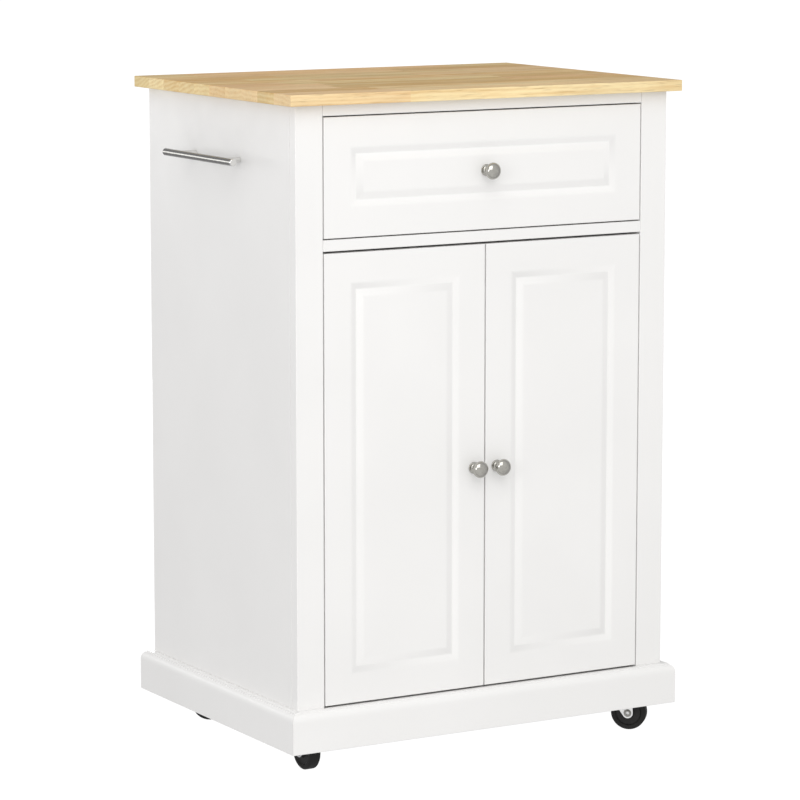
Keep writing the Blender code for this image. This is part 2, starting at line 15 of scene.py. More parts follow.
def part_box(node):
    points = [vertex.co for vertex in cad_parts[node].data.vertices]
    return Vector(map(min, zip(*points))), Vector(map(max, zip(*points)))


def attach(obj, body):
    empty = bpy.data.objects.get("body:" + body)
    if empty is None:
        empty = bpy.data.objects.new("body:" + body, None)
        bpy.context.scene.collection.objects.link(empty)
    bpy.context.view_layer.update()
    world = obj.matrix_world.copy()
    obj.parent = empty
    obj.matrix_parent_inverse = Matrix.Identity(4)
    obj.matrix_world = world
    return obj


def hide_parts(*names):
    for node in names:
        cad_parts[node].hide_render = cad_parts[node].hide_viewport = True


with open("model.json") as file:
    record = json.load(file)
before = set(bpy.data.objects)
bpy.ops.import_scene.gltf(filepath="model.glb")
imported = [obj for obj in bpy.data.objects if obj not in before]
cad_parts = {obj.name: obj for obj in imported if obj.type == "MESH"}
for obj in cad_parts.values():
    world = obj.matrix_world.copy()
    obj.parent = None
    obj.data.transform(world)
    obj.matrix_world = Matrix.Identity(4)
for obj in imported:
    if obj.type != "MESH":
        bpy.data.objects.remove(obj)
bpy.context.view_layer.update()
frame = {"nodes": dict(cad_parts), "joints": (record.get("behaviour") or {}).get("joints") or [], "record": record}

# Fronts: a routed groove runs parallel to the edges, a little shallower than in the CAD part
GROOVE_INSET = 0.049         # edge of a front to the bottom of its groove
GROOVE_OUTER = 0.0085        # groove bottom to the outer shoulder
GROOVE_INNER = 0.0100        # groove bottom to the inner shoulder
GROOVE_DEPTH = 0.0032
GROOVE_BOTTOM_R = 0.0025
GROOVE_SHOULDER_R = 0.012
FRONT_EASE = 0.0008
CUP_BORE_R = 0.0175
CUP_BORE_DEPTH = 0.0115
BUMPER_FROM_SIDE = 0.012
BUMPER_FROM_END = 0.018

ARC_STEPS = 14               # in the quarter rounds of the knobs and the plinth

# Knobs
KNOB_R = 0.0115
KNOB_REACH = 0.0250
KNOB_DOME = 0.0075

# Towel bar
BAR_CAP = 0.0030             # length of the cap on the front end, in lighter steel as a painted highlight
BAR_JOINT = 0.0001
BAR_EASE = 0.0009

# Plinth
PLINTH_ROUND_W = 0.0068
PLINTH_ROUND_H = 0.0110
PLINTH_STEP = 0.0016
PLINTH_EASE = 0.0006
PLINTH_CHAMFER = 0.0003
MITRE_GAP = 0.00005

# Casters
SHEET = 0.0020               # pressed steel of the forks and plates
FORK_HALF_WIDTH = 0.0125
FORK_TOP = 0.0640
FORK_END_R = 0.0075
HUB_CLEARANCE = 0.0003       # on each side, between the wheel's hub and its fork
PLATE_CORNER_R = 0.0055

# Drawer runners and concealed hinges
RUNNER_SHEET = 0.0012
HINGE_PLATE = 0.0025         # thickness of the plate on the side panel
HINGE_ARM_PROUD = 0.0147     # side panel to the arm's face
HINGE_PLATE_SCREW_Y = 0.036
HINGE_PLATE_SCREW_Z = 0.0140
HINGE_ARM_SCREW_YS = (0.026, 0.050)
HINGE_CUP_SCREW_Z = 0.0206
HINGE_PIN_X = 0.0045         # pins to each side of the cup's middle
HINGE_PIN_R = 0.0013
HINGE_PIN_HALF = 0.0135      # half the length of a pin across the cup
HINGE_LINK_Z = 0.0045        # links above and below the cup's middle
HINGE_LINK_HALF = 0.0009     # half the thickness of a link

# Fittings: distances in from a panel's edges
BOX_SCREW_FRONT = 0.008
BOX_SCREW_BACK = 0.006
BOX_SCREW_LOW = 0.020
BOX_SCREW_TOP = 0.018
BACK_SCREW_IN = 0.010
BACK_SCREW_END = 0.030
CAM_FROM_SIDE = 0.034
CAM_FROM_FRONT = 0.110

# Shelf-pin holes in the side panels
PIN_HOLE_R = 0.0025
PIN_HOLE_DEPTH = 0.009
PIN_HOLE_PITCH = 0.032
PIN_HOLES_EACH_WAY = 5

# Butcher block
STAVES = 10
LAMELLA_LENGTHS = (0.20, 0.46)
WORKTOP_SEED = 24
SAME_PLACE = 0.0003          # points closer than this lie on the same face
JOINT_CHAMFER = 0.00012
TOP_EASE = 0.0009
WOOD_LIGHT = (0.96, 0.810, 0.465, 1.0)
WOOD_DARK = (0.650, 0.380, 0.115, 1.0)
WOOD_PINK = (0.84, 0.535, 0.300, 1.0)
WOOD_GREEN = (0.66, 0.530, 0.220, 1.0)
WOOD_PORE = (0.30, 0.175, 0.070, 1.0)

# Studio: azimuth and elevation in degrees, distance and size in metres, power in watts
SOFTBOXES = (
    ("key", -26.0, 40.0, 3.2, 2.4, 31.5),
    ("side", -54.0, 12.0, 3.2, 1.0, 10.5),
    ("rim", -150.0, 9.0, 3.2, 0.9, 6.0),
    ("back", 158.0, -1.0, 3.4, 0.9, 20.0),
)
LIT_PLACE = Vector((0.0, 0.0, 0.45))
ROOM_BRIGHT_WAY = (-0.42, -0.90, 0.08)
ROOM_BRIGHT = (0.835, 0.831, 0.824, 1.0)
ROOM_DIM = (0.436, 0.436, 0.450, 1.0)
FLOOR_GLOW = 1.0
FLOOR_RADIUS = 60.0

# Camera, with upright edges left to converge
CAMERA_PLACE = (-2.5332, -4.3515, 1.2392)
CAMERA_DOWN = 8.737          # degrees below level
CAMERA_TURN = -30.175        # degrees from facing +Y
CAMERA_LENS = 164.0
SENSOR_WIDTH = 36.0

CORNERS = ("front_left", "front_right", "back_left", "back_right")
SIDES = {"left": -1.0, "right": 1.0}
LEVELS = ("lower", "upper")


# ---------------------------------------------------------------- shapes


def filleted(corners, steps=5):
    """A line through (x, y, radius) corners, where each radius above zero becomes an arc."""
    line = []
    for index, (x, y, radius) in enumerate(corners):
        corner = Vector((x, y))
        if radius == 0.0:
            line.append(corner)
            continue
        before = (Vector(corners[index - 1][:2]) - corner).normalized()
        after = (Vector(corners[(index + 1) % len(corners)][:2]) - corner).normalized()
        half_angle = before.angle(after) / 2.0
        centre = corner + (before + after).normalized() * (radius / math.sin(half_angle))
        start = corner + before * (radius / math.tan(half_angle)) - centre
        end = corner + after * (radius / math.tan(half_angle)) - centre
        for step in range(steps + 1):
            direction = start.normalized().slerp(end.normalized(), step / steps)
            line.append(centre + direction * radius)
    return line


def add_box(shape, low, high, ease, segments=2):
    """A box between two corners, with its edges rounded over."""
    low, high = Vector(low), Vector(high)
    placed = Matrix.Translation((low + high) / 2.0) @ Matrix.Diagonal((*(high - low), 1.0))
    corners = bmesh.ops.create_cube(shape, size=1.0, matrix=placed)["verts"]
    edges = list({edge for corner in corners for edge in corner.link_edges})
    bmesh.ops.bevel(shape, geom=edges, offset=ease, segments=segments, profile=0.5, affect="EDGES")


def add_turned(shape, profile, matrix=Matrix(), steps=64, closed=False):
    """A profile of (radius, height) points turned about Z, then placed by the matrix."""
    rings = []
    for radius, height in profile:
        count = steps if radius > 0.0 else 1
        ring = []
        for index in range(count):
            angle = math.tau * index / steps
            point = Vector((radius * math.cos(angle), radius * math.sin(angle), height))
            ring.append(shape.verts.new(matrix @ point))
        rings.append(ring)
    following_rings = rings[1:] + (rings[:1] if closed else [])
    for lower, upper in zip(rings, following_rings):
        for index in range(steps):
            following = (index + 1) % steps
            corners = [
                lower[index % len(lower)],
                lower[following % len(lower)],
                upper[following % len(upper)],
                upper[index % len(upper)],
            ]
            shape.faces.new(dict.fromkeys(corners))


def add_prism(shape, outline, low, high, matrix=Matrix(), ease=0.0):
    """An outline in the XY plane, extruded from low to high along Z, then placed."""
    bottom = [shape.verts.new(matrix @ Vector((x, y, low))) for x, y in outline]
    top = [shape.verts.new(matrix @ Vector((x, y, high))) for x, y in outline]
    caps = [shape.faces.new(bottom), shape.faces.new(top)]
    for index in range(len(outline)):
        following = (index + 1) % len(outline)
        shape.faces.new((bottom[index], bottom[following], top[following], top[index]))
    if ease > 0.0:
        edges = [edge for cap in caps for edge in cap.edges]
        bmesh.ops.bevel(
            shape, geom=edges, offset=ease, segments=2, profile=0.5, affect="EDGES"
        )


def add_mesh(shape, mesh, matrix):
    """A copy of a finished mesh, placed by the matrix."""
    before = len(shape.verts)
    shape.from_mesh(mesh)
    shape.verts.ensure_lookup_table()
    bmesh.ops.transform(shape, matrix=matrix, verts=shape.verts[before:])


def as_mesh(name, shape):
    """Turns a bmesh into a mesh whose faces all point outwards."""
    bmesh.ops.recalc_face_normals(shape, faces=shape.faces)
    mesh = bpy.data.meshes.new(name)
    shape.to_mesh(mesh)
    shape.free()
    return mesh


def hidden(name, mesh):
    """An object that only cuts others."""
    made = bpy.data.objects.new(name, mesh)
    bpy.context.scene.collection.objects.link(made)
    made.hide_render = True
    made.display_type = "WIRE"
    return made


def combined(name, base_mesh, tool_mesh, operation):
    """The Boolean of two meshes, as a new mesh."""
    base = hidden(f"{name}_base", base_mesh)
    tool = hidden(f"{name}_tool", tool_mesh)
    cut = base.modifiers.new("cut", "BOOLEAN")
    cut.operation = operation
    cut.solver = "EXACT"
    cut.object = tool
    bpy.context.view_layer.update()
    evaluated = base.evaluated_get(bpy.context.evaluated_depsgraph_get())
    mesh = bpy.data.meshes.new_from_object(evaluated)
    mesh.name = name
    for used in (base, tool):
        bpy.data.objects.remove(used, do_unlink=True)
    return mesh


def show(name, drawn, body, finish, stands_for=(), sharp_from=30.0):
    """Makes a piece of the visual model from a bmesh or a mesh drawn in place."""
    mesh = as_mesh(name, drawn) if isinstance(drawn, bmesh.types.BMesh) else drawn
    mesh.shade_smooth()
    mesh.set_sharp_from_angle(angle=math.radians(sharp_from))
    mesh.materials.clear()
    mesh.materials.append(finish)
    piece = bpy.data.objects.new(name, mesh)
    bpy.context.scene.collection.objects.link(piece)
    flat = piece.modifiers.new("flats stay flat", "WEIGHTED_NORMAL")
    flat.weight = 100
    flat.keep_sharp = True
    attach(piece, body)
    if stands_for:
        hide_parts(*stands_for)
    return piece


def centre_of(node):
    """The middle of a CAD node's box."""
    low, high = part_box(node)
    return (low + high) / 2.0


def facing(direction, place):
    """A matrix that turns +Z to a direction and then moves to a place."""
    turn = Vector(direction).to_track_quat("Z", "Y").to_matrix().to_4x4()
    return Matrix.Translation(place) @ turn


# ---------------------------------------------------------------- finishes


class Finish:
    """A procedural material: a Principled shader and short calls for the nodes that feed it."""

    def __init__(self, name, **values):
        self.material = bpy.data.materials.new(name)
        self.material.use_nodes = True
        self.tree = self.material.node_tree
        self.shader = self.tree.nodes["Principled BSDF"]
        for socket, value in values.items():
            self.shader.inputs[socket.replace("_", " ")].default_value = value
        self.place = self.tree.nodes.new("ShaderNodeTexCoord").outputs["Object"]

    def node(self, kind, output=0, settings=(), **inputs):
        """Adds a node; an input that is a socket is linked, and any other is set as a value."""
        made = self.tree.nodes.new(f"ShaderNode{kind}")
        for key, value in dict(settings).items():
            setattr(made, key, value)
        for key, value in inputs.items():
            socket = made.inputs[int(key[1:]) if key[1:].isdigit() else key.replace("_", " ")]
            if isinstance(value, bpy.types.NodeSocket):
                self.tree.links.new(value, socket)
            else:
                socket.default_value = value
        return made.outputs[output]

    def scaled(self, scale, source=None):
        return self.node("Mapping", Vector=source or self.place, Scale=scale)

    def noise(self, scale, detail=3.0, roughness=0.5, distortion=0.0, source=None):
        return self.node(
            "TexNoise",
            Vector=source or self.place,
            Scale=scale,
            Detail=detail,
            Roughness=roughness,
            Distortion=distortion,
        )

    def math(self, operation, first, second=0.0, clamp=False):
        settings = {"operation": operation, "use_clamp": clamp}
        return self.node("Math", settings=settings, _0=first, _1=second)

    def spread(self, source, low, high, to_low=0.0, to_high=1.0):
        """Maps a value's range low..high to to_low..to_high, clamped."""
        return self.node(
            "MapRange",
            _0=source,
            _1=low,
            _2=high,
            _3=to_low,
            _4=to_high,
        )

    def blend(self, factor, first, second, kind="MIX"):
        settings = {"data_type": "RGBA", "blend_type": kind}
        return self.node("Mix", output=2, settings=settings, _0=factor, _6=first, _7=second)

    def bump(self, height, distance, strength=1.0, below=None):
        inputs = {"Height": height, "Distance": distance, "Strength": strength}
        if below is not None:
            inputs["Normal"] = below
        return self.node("Bump", **inputs)

    def feed(self, socket, source):
        self.tree.links.new(source, self.shader.inputs[socket])


def rgb(red, green, blue):
    return (red, green, blue, 1.0)


def wood_finish():
    """Light hardwood staves: each lamella has its own tone, growth rings, streaks and pores.
    The mesh's lamella attribute holds (tone, hue, place of the pith)."""
    wood = Finish("butcher_block", Coat_Weight=0.04, Coat_Roughness=0.30)
    wood.shader.inputs["Specular IOR Level"].default_value = 0.20
    traits = wood.node("Attribute", output=1, settings={"attribute_name": "lamella"})
    tone, hue, pith = (wood.node("SeparateXYZ", output=axis, Vector=traits) for axis in range(3))
    shift = wood.node(
        "VectorMath", settings={"operation": "SCALE"}, _0=traits, Scale=7.0
    )
    place = wood.node("VectorMath", settings={"operation": "ADD"}, _0=wood.place, _1=shift)
    along = wood.scaled((0.06, 1.0, 1.0), place)

    # Growth rings round a pith that lies below each lamella, bent a little along the grain
    warp = wood.node(
        "TexNoise", output=1, Vector=along, Scale=16.0, Detail=2.0, Roughness=0.5
    )
    bent = wood.node(
        "VectorMath",
        settings={"operation": "MULTIPLY_ADD"},
        _0=warp,
        _1=(0.0, 0.024, 0.024),
        _2=wood.place,
    )
    pith_y = wood.math("MULTIPLY", pith, 0.10)
    offset = wood.node("CombineXYZ", Y=pith_y, Z=0.030)
    ring_place = wood.node("VectorMath", settings={"operation": "ADD"}, _0=bent, _1=offset)
    rings = wood.node(
        "TexWave",
        output=1,
        settings={"wave_type": "RINGS", "rings_direction": "X", "wave_profile": "SIN"},
        Vector=ring_place,
        Scale=52.0,
        Distortion=1.8,
        Detail=2.0,
    )

    streaks = wood.noise(110.0, detail=5.0, roughness=0.62, source=along)
    clouds = wood.noise(11.0, detail=3.0, source=wood.scaled((0.3, 1.0, 1.0), place))
    pores = wood.noise(900.0, detail=1.0, source=wood.scaled((0.045, 1.0, 1.0), place))
    pore = wood.spread(pores, 0.58, 0.72)

    # Painted shade: faces that point up are painted darker than the edges, for the lesser light that falls on the
    # top
    normal = wood.node("NewGeometry", output=1)
    upward = wood.node("SeparateXYZ", output=2, Vector=normal)
    sideways = wood.node("SeparateXYZ", output=0, Vector=normal)
    face = wood.spread(upward, 0.3, 0.9, 0.0, 0.36)
    end_grain = wood.spread(wood.math("ABSOLUTE", sideways), 0.3, 0.9, 0.0, 1.0)

    depth = wood.math("MULTIPLY", rings, 0.26)
    streaky = wood.spread(streaks, 0.36, 0.70, -0.12, 0.46)
    streaky = wood.math("MULTIPLY", streaky, wood.spread(end_grain, 0.0, 1.0, 1.0, 0.25))
    depth = wood.math("ADD", depth, streaky)
    depth = wood.math("ADD", depth, wood.spread(tone, 0.0, 1.0, -0.12, 0.36))
    # Adds the painted shade of the upward faces
    depth = wood.math("ADD", depth, face)
    depth = wood.math("ADD", depth, wood.math("MULTIPLY", end_grain, 0.10), clamp=True)
    colour = wood.blend(depth, WOOD_LIGHT, WOOD_DARK)
    colour = wood.blend(wood.spread(hue, 0.60, 1.0, 0.0, 0.40), colour, WOOD_PINK)
    colour = wood.blend(wood.spread(hue, 0.30, 0.0, 0.0, 0.35), colour, WOOD_GREEN)
    cloudy = wood.spread(clouds, 0.3, 0.7, 0.90, 1.08)
    cloud = wood.node("CombineColor", Red=cloudy, Green=cloudy, Blue=cloudy)
    colour = wood.blend(1.0, colour, cloud, "MULTIPLY")
    colour = wood.blend(wood.math("MULTIPLY", pore, 0.38), colour, WOOD_PORE)
    wood.feed("Base Color", colour)
    wood.feed("Roughness", wood.spread(streaks, 0.3, 0.7, 0.40, 0.56))
    grain = wood.bump(streaks, 0.00006)
    wood.feed("Normal", wood.bump(wood.math("MULTIPLY", pore, -1.0), 0.00008, below=grain))
    return wood.material


def paint_finish(name, colour, roughness, texture):
    """Sprayed satin paint or a melamine face: a fine skin and slow changes of sheen and tone."""
    paint = Finish(name)
    paint.shader.inputs["Specular IOR Level"].default_value = 0.45
    slow = paint.noise(5.0, detail=3.0)
    soft = paint.noise(38.0, detail=4.0)
    skin = paint.noise(1400.0, detail=2.0)
    darker = rgb(*(channel * 0.975 for channel in colour))
    paint.feed("Base Color", paint.blend(paint.spread(slow, 0.35, 0.65), rgb(*colour), darker))
    paint.feed("Roughness", paint.spread(soft, 0.3, 0.7, roughness - 0.05, roughness + 0.06))
    waves = paint.bump(soft, 0.00005, 0.5)
    paint.feed("Normal", paint.bump(skin, texture, below=waves))
    return paint.material


def nickel_finish():
    """Polished nickel plate with faint handling marks."""
    nickel = Finish("polished_nickel", Metallic=1.0)
    marks = nickel.noise(260.0, detail=4.0, roughness=0.6)
    bright, dull = rgb(0.50, 0.49, 0.455), rgb(0.42, 0.41, 0.38)
    nickel.feed("Base Color", nickel.blend(nickel.spread(marks, 0.35, 0.7), bright, dull))
    nickel.feed("Roughness", nickel.spread(marks, 0.3, 0.75, 0.07, 0.17))
    nickel.feed("Normal", nickel.bump(nickel.noise(90.0, detail=2.0), 0.00004))
    return nickel.material


def brushed_finish(name, bright, dull):
    """Stainless steel, brushed round the bar, so its scratches lie across Y."""
    steel = Finish(name, Metallic=1.0, Anisotropic=0.35)
    scratches = steel.noise(700.0, detail=3.0, source=steel.scaled((0.05, 3.0, 0.05)))
    tone = steel.blend(steel.spread(scratches, 0.35, 0.65), rgb(*bright), rgb(*dull))
    steel.feed("Base Color", tone)
    steel.feed("Roughness", steel.spread(scratches, 0.3, 0.7, 0.12, 0.22))
    steel.feed("Normal", steel.bump(scratches, 0.00002))
    return steel.material


def zinc_finish():
    """Bright zinc plate on pressed steel, with soft spangle and rolling marks."""
    zinc = Finish("bright_zinc", Metallic=1.0)
    cells = zinc.node("TexVoronoi", Vector=zinc.place, Scale=420.0)
    cloudy = zinc.noise(120.0, detail=3.0)
    bright, dull = rgb(0.93, 0.932, 0.935), rgb(0.80, 0.805, 0.815)
    zinc.feed("Base Color", zinc.blend(zinc.spread(cloudy, 0.3, 0.7), bright, dull))
    zinc.feed("Roughness", zinc.spread(cloudy, 0.3, 0.7, 0.24, 0.40))
    zinc.feed("Normal", zinc.bump(cells, 0.00003, 0.5))
    return zinc.material


def rubber_finish(name, colour, roughness, grain):
    """Moulded black rubber or plastic with a fine grain and dusty patches."""
    rubber = Finish(name)
    rubber.shader.inputs["Specular IOR Level"].default_value = 0.28
    dust = rubber.noise(60.0, detail=4.0, roughness=0.6)
    skin = rubber.noise(1900.0, detail=2.0)
    dusty = rgb(*(channel * 1.5 + 0.004 for channel in colour))
    rubber.feed("Base Color", rubber.blend(rubber.spread(dust, 0.45, 0.75), rgb(*colour), dusty))
    rubber.feed("Roughness", rubber.spread(dust, 0.3, 0.7, roughness - 0.06, roughness + 0.10))
    rubber.feed("Normal", rubber.bump(skin, grain))
    return rubber.material


WOOD = wood_finish()
PAINT = paint_finish("white_satin_paint", (0.888, 0.882, 0.872), 0.38, 0.000012)
BOARD = paint_finish("white_melamine", (0.850, 0.848, 0.838), 0.46, 0.000025)
NICKEL = nickel_finish()
# The bar, its posts and its cap are one steel: the darker copy is painted shade and dark reflection, also used on
# the caster rivets; the lighter copy is painted light on the posts and the cap
SHADED_STEEL = brushed_finish("brushed_bar_painted_shade", (0.38, 0.375, 0.355), (0.28, 0.275, 0.26))
LIT_STEEL = brushed_finish("brushed_post_painted_light", (0.80, 0.795, 0.78), (0.70, 0.695, 0.68))
ZINC = zinc_finish()
RUBBER = rubber_finish("black_tyre", (0.0085, 0.0083, 0.0082), 0.55, 0.00005)
PLASTIC = rubber_finish("black_hub", (0.0115, 0.0112, 0.0110), 0.42, 0.00002)
BUMPER = rubber_finish("clear_bumper", (0.42, 0.42, 0.41), 0.30, 0.00001)


# ---------------------------------------------------------------- screws


def screw_mesh(radius, height):
    """A pan head with a cross recess, standing on z = 0."""
    head = bmesh.new()
    profile = filleted(
        [(0.0, 0.0, 0.0), (radius, 0.0, 0.0), (radius, height, height * 0.8), (0.0, height, 0.0)],
        steps=5,
    )
    add_turned(head, profile, steps=24)
    recess = bmesh.new()
    wing, arm = radius * 0.10, radius * 0.52
    floor, rim = height * 0.35, height * 1.5
    outline = [
        (-arm, -wing), (-wing, -wing), (-wing, -arm), (wing, -arm), (wing, -wing), (arm, -wing),
        (arm, wing), (wing, wing), (wing, arm), (-wing, arm), (-wing, wing), (-arm, wing),
    ]
    add_prism(recess, outline, floor, rim)
    cutter = as_mesh("recess", recess)
    return combined("screw", as_mesh("head", head), cutter, "DIFFERENCE")


PAN_SCREW = screw_mesh(0.0034, 0.0019)
SMALL_SCREW = screw_mesh(0.0026, 0.0014)
CAM_LOCK = screw_mesh(0.0070, 0.0009)


def show_screws(name, mesh, places, direction, body):
    """Screw heads on a face; direction points away from the face."""
    shape = bmesh.new()
    for index, place in enumerate(places):
        spin = Matrix.Rotation(math.radians(37.0 * (index + 1)), 4, "Z")
        add_mesh(shape, mesh, facing(direction, place) @ spin)
    return show(name, shape, body, ZINC)


# ---------------------------------------------------------------- worktop


def make_worktop():
    """Glued staves, each of shorter lamellas laid end to end."""
    draw = random.Random(WORKTOP_SEED)
    low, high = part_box("worktop")
    shape = bmesh.new()
    traits = shape.verts.layers.float_vector.new("lamella")
    weight = shape.edges.layers.float.new("bevel_weight_edge")
    pitch = (high.y - low.y) / STAVES
    for stave in range(STAVES):
        near = low.y + stave * pitch
        left = low.x
        while left < high.x:
            right = left + draw.uniform(*LAMELLA_LENGTHS)
            if left == low.x:
                right = left + draw.uniform(0.35, 1.0) * LAMELLA_LENGTHS[0]
            if high.x - right < LAMELLA_LENGTHS[0] / 2.0:
                right = high.x
            centre = Vector(((left + right) / 2.0, near + pitch / 2.0, (low.z + high.z) / 2.0))
            size = Matrix.Diagonal((right - left, pitch, high.z - low.z, 1.0))
            made = bmesh.ops.create_cube(shape, size=1.0, matrix=Matrix.Translation(centre) @ size)
            character = Vector((draw.random(), draw.random(), draw.random()))
            for corner in made["verts"]:
                corner[traits] = character
            for edge in {edge for corner in made["verts"] for edge in corner.link_edges}:
                sides = sum(
                    all(abs(end.co[axis] - limit[axis]) < SAME_PLACE for end in edge.verts)
                    for axis in range(3)
                    for limit in (low, high)
                )
                edge[weight] = 1.0 if sides > 1 else JOINT_CHAMFER / TOP_EASE
            left = right
    top = show("butcher_block_top", shape, "cabinet", WOOD, ("worktop",))
    top.modifiers.clear()
    ease = top.modifiers.new("eased edges", "BEVEL")
    ease.harden_normals = True
    ease.width = TOP_EASE
    ease.segments = 3
    ease.limit_method = "WEIGHT"


# ---------------------------------------------------------------- fronts


def groove_profile():
    """(inset from the front's edge, depth) along the routed groove, shoulder to shoulder.
    The first and last corners lie on the flat beside it and are left out."""
    outer = GROOVE_INSET - GROOVE_OUTER
    inner = GROOVE_INSET + GROOVE_INNER
    corners = [
        (outer - GROOVE_OUTER, 0.0, 0.0),
        (outer, 0.0, GROOVE_SHOULDER_R),
        (GROOVE_INSET, GROOVE_DEPTH, GROOVE_BOTTOM_R),
        (inner, 0.0, GROOVE_SHOULDER_R),
        (inner + GROOVE_INNER, 0.0, 0.0),
    ]
    return filleted(corners, steps=7)[1:-1]


def front_mesh(node):
    """A door or a drawer front with eased edges and a routed groove parallel to them."""
    low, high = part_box(node)
    thick = high.y - low.y
    rings = [(FRONT_EASE / 2.0, thick), (0.0, thick - FRONT_EASE / 2.0)]
    for step in range(5):
        angle = math.radians(90.0) * step / 4.0
        inset = FRONT_EASE * (1.0 - math.cos(angle))
        rings.append((inset, FRONT_EASE * (1.0 - math.sin(angle))))
    rings += groove_profile()
    shape = bmesh.new()
    loops = []
    for inset, depth in rings:
        y = low.y + depth
        corners = [
            (low.x + inset, y, low.z + inset),
            (high.x - inset, y, low.z + inset),
            (high.x - inset, y, high.z - inset),
            (low.x + inset, y, high.z - inset),
        ]
        loops.append([shape.verts.new(corner) for corner in corners])
    for outer, inner in zip(loops, loops[1:]):
        for index in range(4):
            following = (index + 1) % 4
            shape.faces.new((outer[index], outer[following], inner[following], inner[index]))
    shape.faces.new(loops[0])
    shape.faces.new(loops[-1])
    return as_mesh(node, shape)


def make_doors():
    """Door panels with the bores for their hinge cups, two bumpers and the knob's screw."""
    for side in SIDES:
        node = f"door_{side}"
        mesh = front_mesh(node)
        low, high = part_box(node)
        bores = bmesh.new()
        for level in LEVELS:
            cup = centre_of(f"hinge_cup_{side}_{level}")
            profile = [(0.0, 0.0), (CUP_BORE_R, 0.0), (CUP_BORE_R, 0.02), (0.0, 0.02)]
            place = (cup.x, high.y - CUP_BORE_DEPTH, cup.z)
            add_turned(bores, profile, facing((0.0, 1.0, 0.0), place), steps=48)
        mesh = combined(f"{node}_panel", mesh, as_mesh("bores", bores), "DIFFERENCE")
        show(f"{node}_panel", mesh, node, PAINT, (node,))

        bumpers = bmesh.new()
        profile = filleted(
            [(0.0, 0.0, 0.0), (0.0040, 0.0, 0.0), (0.0036, 0.0012, 0.0008), (0.0, 0.0012, 0.0)]
        )
        free_x = low.x + BUMPER_FROM_SIDE if side == "right" else high.x - BUMPER_FROM_SIDE
        for z in (low.z + BUMPER_FROM_END, high.z - BUMPER_FROM_END):
            matrix = facing((0.0, 1.0, 0.0), (free_x, high.y, z))
            add_turned(bumpers, profile, matrix, steps=24)
        show(f"{node}_bumpers", bumpers, node, BUMPER)
        knob = centre_of(f"door_knob_{side}")
        place = [(knob.x, high.y, knob.z)]
        show_screws(f"door_knob_screw_{side}", PAN_SCREW, place, (0.0, 1.0, 0.0), node)


def make_knobs():
    """Turned mushroom knobs: a base flange, a waisted neck and a domed head."""
    profile = filleted(
        [
            (0.0, 0.0, 0.0),
            (0.0080, 0.0, 0.0),
            (0.0080, 0.0018, 0.0006),
            (0.0044, 0.0030, 0.0025),
            (0.0040, 0.0110, 0.0060),
            (KNOB_R - 0.0002, 0.0170, 0.0),
        ],
        steps=6,
    )
    for step in range(ARC_STEPS + 1):
        angle = math.radians(90.0) * step / ARC_STEPS
        radius = KNOB_R * math.cos(angle) if step < ARC_STEPS else 0.0
        profile.append(Vector((radius, KNOB_REACH - KNOB_DOME * (1.0 - math.sin(angle)))))
    for node, body in (
        ("drawer_knob", "drawer"),
        ("door_knob_left", "door_left"),
        ("door_knob_right", "door_right"),
    ):
        middle = centre_of(node)
        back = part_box(node)[1].y
        shape = bmesh.new()
        place = (middle.x, back, middle.z)
        add_turned(shape, profile, facing((0.0, -1.0, 0.0), place), steps=72)
        show(f"{node}_turned", shape, body, NICKEL, (node,), sharp_from=42.0)


# ---------------------------------------------------------------- plinth


def make_plinth():
    """Four moulded boards, mitred at the corners."""
    middle = (centre_of("plinth_front") + centre_of("plinth_back")) / 2.0
    front_low, front_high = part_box("plinth_front")
    thick = front_high.y - front_low.y
    height = front_high.z - front_low.z
    deep = middle.y - front_low.y
    across = middle.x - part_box("plinth_left")[0].x
    profile = [(thick, 0.0), (PLINTH_EASE, 0.0), (0.0, PLINTH_EASE)]
    for step in range(ARC_STEPS + 1):
        angle = math.radians(90.0) * step / ARC_STEPS
        inward = PLINTH_ROUND_W * (1.0 - math.cos(angle))
        up = height - PLINTH_STEP - PLINTH_ROUND_H * (1.0 - math.sin(angle))
        profile.append((inward, up))
    profile.append((PLINTH_ROUND_W, height - PLINTH_CHAMFER))
    profile.append((PLINTH_ROUND_W + PLINTH_CHAMFER, height))
    profile.append((thick, height))
    runs = {
        "front": (across, deep, 0.0),
        "right": (deep, across, 90.0),
        "back": (across, deep, 180.0),
        "left": (deep, across, 270.0),
    }
    for side, (half_length, distance, turn) in runs.items():
        matrix = Matrix.Translation((middle.x, middle.y, front_low.z))
        matrix = matrix @ Matrix.Rotation(math.radians(turn), 4, "Z")
        shape = bmesh.new()
        ends = []
        for sign in (-1.0, 1.0):
            ring = []
            for inward, up in profile:
                reach = half_length - inward - MITRE_GAP
                point = Vector((sign * reach, inward - distance, up))
                ring.append(shape.verts.new(matrix @ point))
            ends.append(ring)
            shape.faces.new(ring)
        left, right = ends
        for index in range(len(profile)):
            following = (index + 1) % len(profile)
            corners = (left[index], left[following], right[following], right[index])
            shape.faces.new(corners)
        node = f"plinth_{side}"
        name = f"{node}_moulding"
        show(name, shape, "cabinet", PAINT, (node,), sharp_from=35.0)


# ---------------------------------------------------------------- drawer


